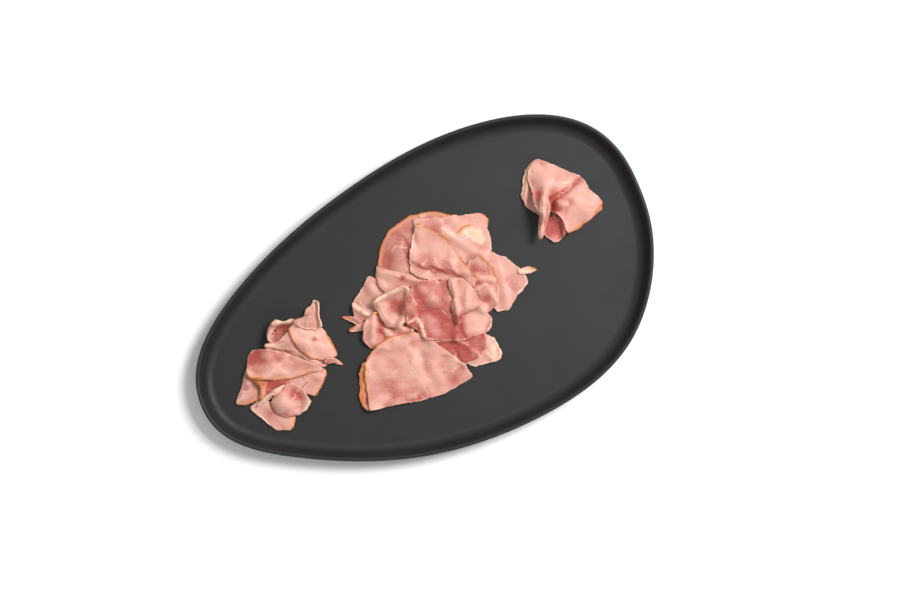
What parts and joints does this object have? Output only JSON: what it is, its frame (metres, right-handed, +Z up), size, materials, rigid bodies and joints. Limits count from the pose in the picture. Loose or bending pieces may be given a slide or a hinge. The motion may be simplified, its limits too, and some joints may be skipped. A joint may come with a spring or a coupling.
{
  "type": "deli serving platter with shaved ham",
  "caption": "Egg-shaped black deli platter with a low rounded rim and a foot ring, carrying loose lift-off portions of folded shaved ham.",
  "frame": {"origin": "on the table, under the middle of the platter's length and width", "axes": "+X along the platter's long axis towards its broad end, +Y across it, +Z up"},
  "size_m": [0.4, 0.242, 0.0298],
  "materials": {
    "platter_melamine": "satin",
    "ham": "satin"
  },
  "bodies": {
    "root": {"platter": "platter_melamine"},
    "left_portion": {"front_pale_slice": "ham", "left_end_slice": "ham", "right_hand_slice": "ham", "small_curl": "ham", "middle_under_slice": "ham", "lower_curled_slice": "ham", "torn_strip": "ham", "under_rind_slice": "ham", "middle_slice": "ham", "rind_edged_slice": "ham", "standing_tip": "ham", "red_tail": "ham"},
    "centre_portion": {"under_slice": "ham", "back_slice": "ham", "right_edge_slice": "ham", "fat_wisp": "ham", "far_left_slice": "ham", "left_tail": "ham", "lower_tail": "ham", "pale_corner_slice": "ham", "fat_edge_slice": "ham", "right_ruffle": "ham", "left_band": "ham", "dark_fold": "ham", "upper_fold": "ham", "orange_edge_fold": "ham", "curled_slice": "ham", "front_slice": "ham", "middle_top_slice": "ham", "top_ruffle": "ham"},
    "right_portion": {"gathered_under_slice": "ham", "red_lower_slice": "ham", "gathered_slice": "ham", "standing_ridge": "ham"}
  },
  "joints": [
    {"name": "left_portion_lift", "type": "slide", "parent": "root", "child": "left_portion", "axis": [0, 0, 1], "range_m": [0, 0.06]},
    {"name": "centre_portion_lift", "type": "slide", "parent": "root", "child": "centre_portion", "axis": [0, 0, 1], "range_m": [0, 0.06]},
    {"name": "right_portion_lift", "type": "slide", "parent": "root", "child": "right_portion", "axis": [0, 0, 1], "range_m": [0, 0.06]}
  ]
}
